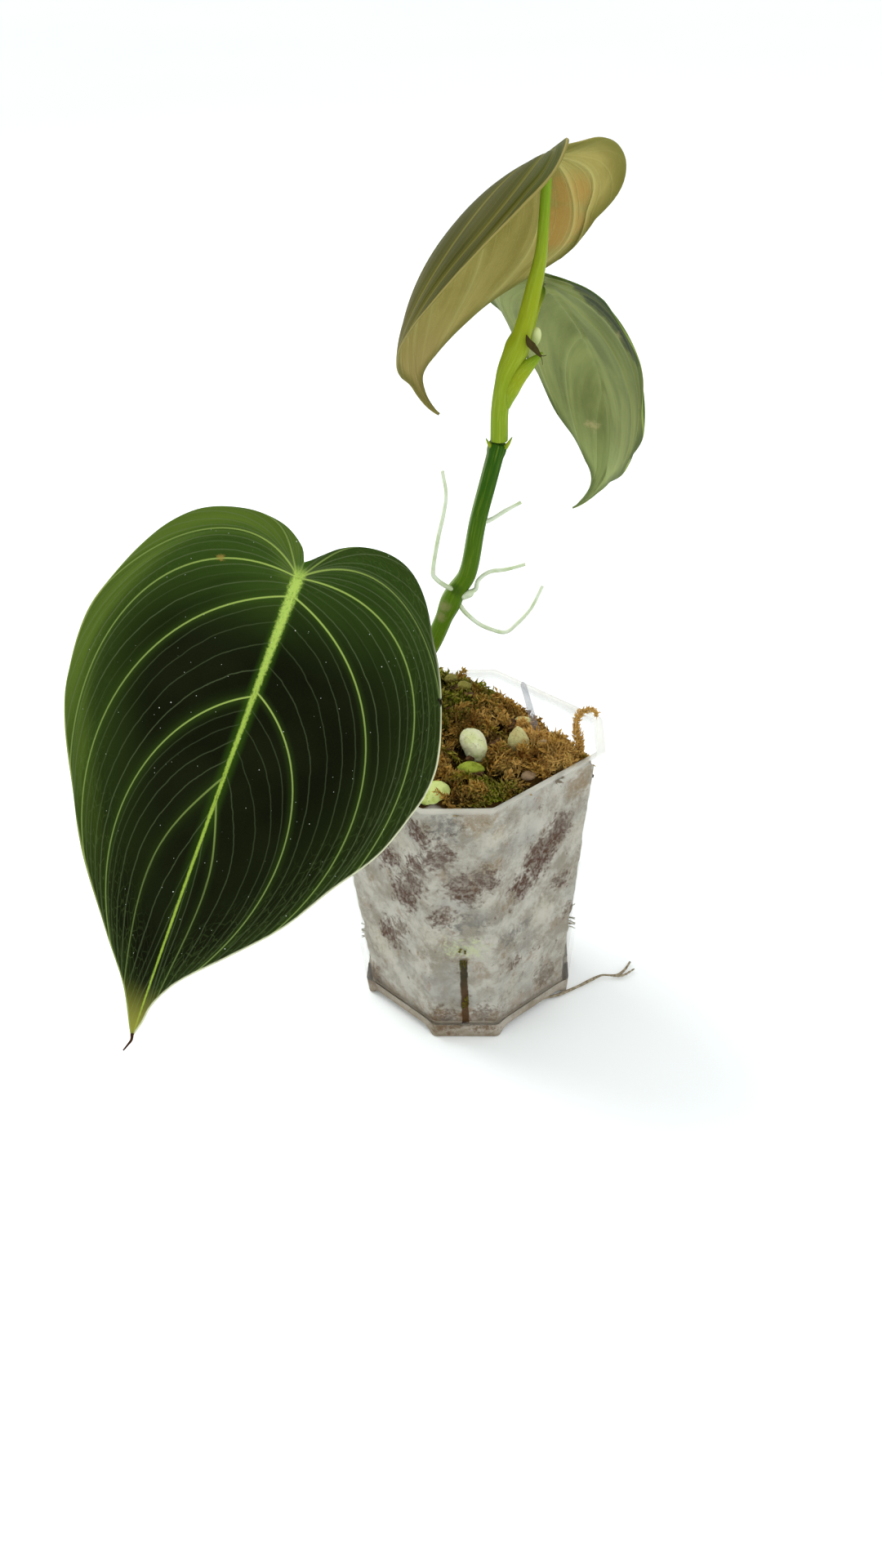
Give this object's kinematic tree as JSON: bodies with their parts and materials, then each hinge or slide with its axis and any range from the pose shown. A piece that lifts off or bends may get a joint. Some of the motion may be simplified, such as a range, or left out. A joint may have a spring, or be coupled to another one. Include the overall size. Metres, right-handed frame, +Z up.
{
  "type": "potted plant",
  "caption": "Young climbing philodendron with velvety dark heart-shaped leaves on a leaning stem, in a clear square nursery pot of moss and bark",
  "frame": {"origin": "middle of the pot's underside, on the flat foot it rests on", "axes": "+Z up; -Y towards the viewer, with one cut corner of the pot towards -Y and one towards +X; the large leaf hangs over the -X, -Y side"},
  "size_m": [0.1266, 0.1902, 0.2268],
  "materials": {
    "pot_plastic": "thin translucent polypropylene, lightly frosted",
    "moss": "damp fibrous sphagnum and bark mix",
    "pumice": "porous pale lumps",
    "pumice_green": "porous lumps tinted green by algae",
    "bark_chip": "weathered bark chip",
    "stem_dark": "smooth dark green stem, faint ribs",
    "stem_bright": "smooth waxy yellow-green petiole",
    "petiole": "smooth green petiole",
    "leaf_dark": "velvety near-black green with bright veins",
    "leaf_young": "satin olive blade with tan underside",
    "leaf_underside": "matte grey-green underside with paler veins",
    "dried_sheath": "dry papery brown tip",
    "bud": "smooth pale cream-green bud",
    "root": "dry thin root",
    "clear_sliver": "thin translucent sliver"
  },
  "bodies": {
    "root": {"pot": "pot_plastic", "moss": "moss", "lump_1": "pumice", "lump_2": "pumice", "lump_3": "pumice_green", "lump_4": "pumice", "lump_5": "bark_chip", "lump_6": "bark_chip", "lump_7": "pumice_green", "lump_8": "pumice", "lump_9": "pumice", "lump_10": "pumice", "lump_11": "pumice", "lump_12": "pumice", "lower_stem": "stem_dark", "upper_stem": "stem_bright", "front_petiole": "petiole", "front_leaf": "leaf_dark", "top_leaf": "leaf_young", "back_leaf": "leaf_underside", "dried_tip": "dried_sheath", "bud": "bud", "floor_root": "root", "sliver": "clear_sliver"}
  },
  "joints": []
}
